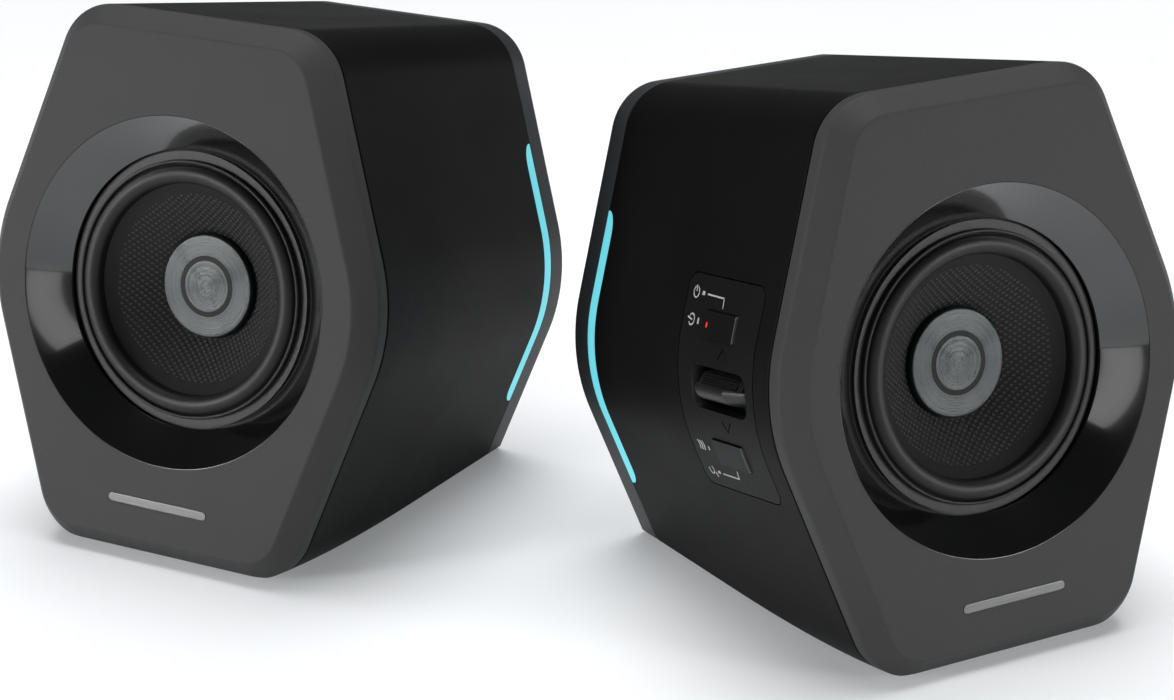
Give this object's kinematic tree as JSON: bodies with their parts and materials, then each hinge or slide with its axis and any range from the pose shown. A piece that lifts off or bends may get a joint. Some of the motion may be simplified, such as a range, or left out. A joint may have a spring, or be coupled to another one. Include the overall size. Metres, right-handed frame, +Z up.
{
  "type": "desktop speakers",
  "caption": "Pair of powered desktop speakers with leaning hexagonal cabinets, gloss driver horns, side light strips and a side control panel.",
  "frame": {"origin": "on the table, at the centre of the pair's footprint", "axes": "+Z up, +X along the row of the two speakers towards the powered one, -Y towards the listener"},
  "size_m": [0.2798, 0.1894, 0.1287],
  "materials": {
    "bezel_plastic": "fine-grain matt",
    "badge_inlay": "gloss",
    "gloss_black": "high gloss",
    "pressed_steel": "satin",
    "surround_rubber": "satin",
    "spider_cloth": "woven",
    "plated_steel": "zinc plated",
    "ferrite": "sintered",
    "black_screw": "black zinc",
    "light_bar": "lit translucent",
    "circuit_board": "solder mask",
    "cabinet_plastic": "satin moulded",
    "cover_plastic": "satin moulded",
    "foot_rubber": "matt",
    "woven_cone": "woven",
    "spun_aluminium": "spun",
    "copper_coil": "enamelled wire",
    "jack_plastic": "gloss",
    "heat_sink_metal": "extruded",
    "red_lamp": "lit",
    "key_plastic": "satin moulded",
    "rocker_plastic": "satin moulded"
  },
  "bodies": {
    "cabinets": {"left_front_bezel": "bezel_plastic", "left_badge_bar": "badge_inlay", "left_horn_ring": "gloss_black", "left_driver_basket": "pressed_steel", "left_driver_gasket": "surround_rubber", "left_surround": "surround_rubber", "left_spider": "spider_cloth", "left_top_plate": "plated_steel", "left_magnet": "ferrite", "left_pole_plate": "plated_steel", "left_driver_screws": "black_screw", "left_light_strip_inner": "light_bar", "left_light_strip_outer": "light_bar", "left_light_boards": "circuit_board", "left_cabinet_shell": "cabinet_plastic", "left_rear_cover": "cover_plastic", "left_cover_screws": "black_screw", "left_feet": "foot_rubber", "right_front_bezel": "bezel_plastic", "right_badge_bar": "badge_inlay", "right_horn_ring": "gloss_black", "right_driver_basket": "pressed_steel", "right_driver_gasket": "surround_rubber", "right_surround": "surround_rubber", "right_spider": "spider_cloth", "right_top_plate": "plated_steel", "right_magnet": "ferrite", "right_pole_plate": "plated_steel", "right_driver_screws": "black_screw", "right_light_strip_inner": "light_bar", "right_light_strip_outer": "light_bar", "right_light_boards": "circuit_board", "right_cabinet_shell": "cabinet_plastic", "right_rear_cover": "cover_plastic", "right_cover_screws": "black_screw", "right_feet": "foot_rubber", "left_link_jack": "jack_plastic", "right_aux_jack": "jack_plastic", "right_link_jack": "jack_plastic", "right_power_jack": "jack_plastic", "right_control_panel": "cabinet_plastic", "right_main_board": "circuit_board", "right_heat_sink": "heat_sink_metal", "right_control_board": "circuit_board", "right_status_lamp": "red_lamp", "right_rocker_pin": "plated_steel", "right_board_screws": "plated_steel"},
    "left_cone_assembly": {"left_cone": "woven_cone", "left_dust_cap": "spun_aluminium", "left_voice_coil": "copper_coil"},
    "right_cone_assembly": {"right_cone": "woven_cone", "right_dust_cap": "spun_aluminium", "right_voice_coil": "copper_coil"},
    "power_button": {"right_power_button": "key_plastic"},
    "mode_button": {"right_mode_button": "key_plastic"},
    "volume_rocker": {"right_volume_rocker": "rocker_plastic"}
  },
  "joints": [
    {"name": "left_cone_travel", "type": "slide", "parent": "cabinets", "child": "left_cone_assembly", "axis": [-0.4539, -0.8706, 0.1901], "range_m": [-0.0015, 0.0015], "stiffness_N_per_m": 900, "deforming": ["left_surround", "left_spider"]},
    {"name": "right_cone_travel", "type": "slide", "parent": "cabinets", "child": "right_cone_assembly", "axis": [0.4837, -0.8543, 0.1901], "range_m": [-0.0015, 0.0015], "stiffness_N_per_m": 900, "deforming": ["right_surround", "right_spider"]},
    {"name": "power_button_press", "type": "slide", "parent": "cabinets", "child": "power_button", "axis": [0.8702, 0.4927, 0], "range_m": [0, 0.0008], "stiffness_N_per_m": 400, "springref_m": -0.0002},
    {"name": "mode_button_press", "type": "slide", "parent": "cabinets", "child": "mode_button", "axis": [0.8702, 0.4927, 0], "range_m": [0, 0.0008], "stiffness_N_per_m": 400, "springref_m": -0.0002},
    {"name": "volume_rocker_tilt", "type": "hinge", "parent": "cabinets", "child": "volume_rocker", "pos_m": [0.03802, -0.06789, 0.06113], "axis": [-0.4837, 0.8543, -0.1901], "range_deg": [-10, 10], "stiffness_Nm_per_rad": 0.03}
  ]
}
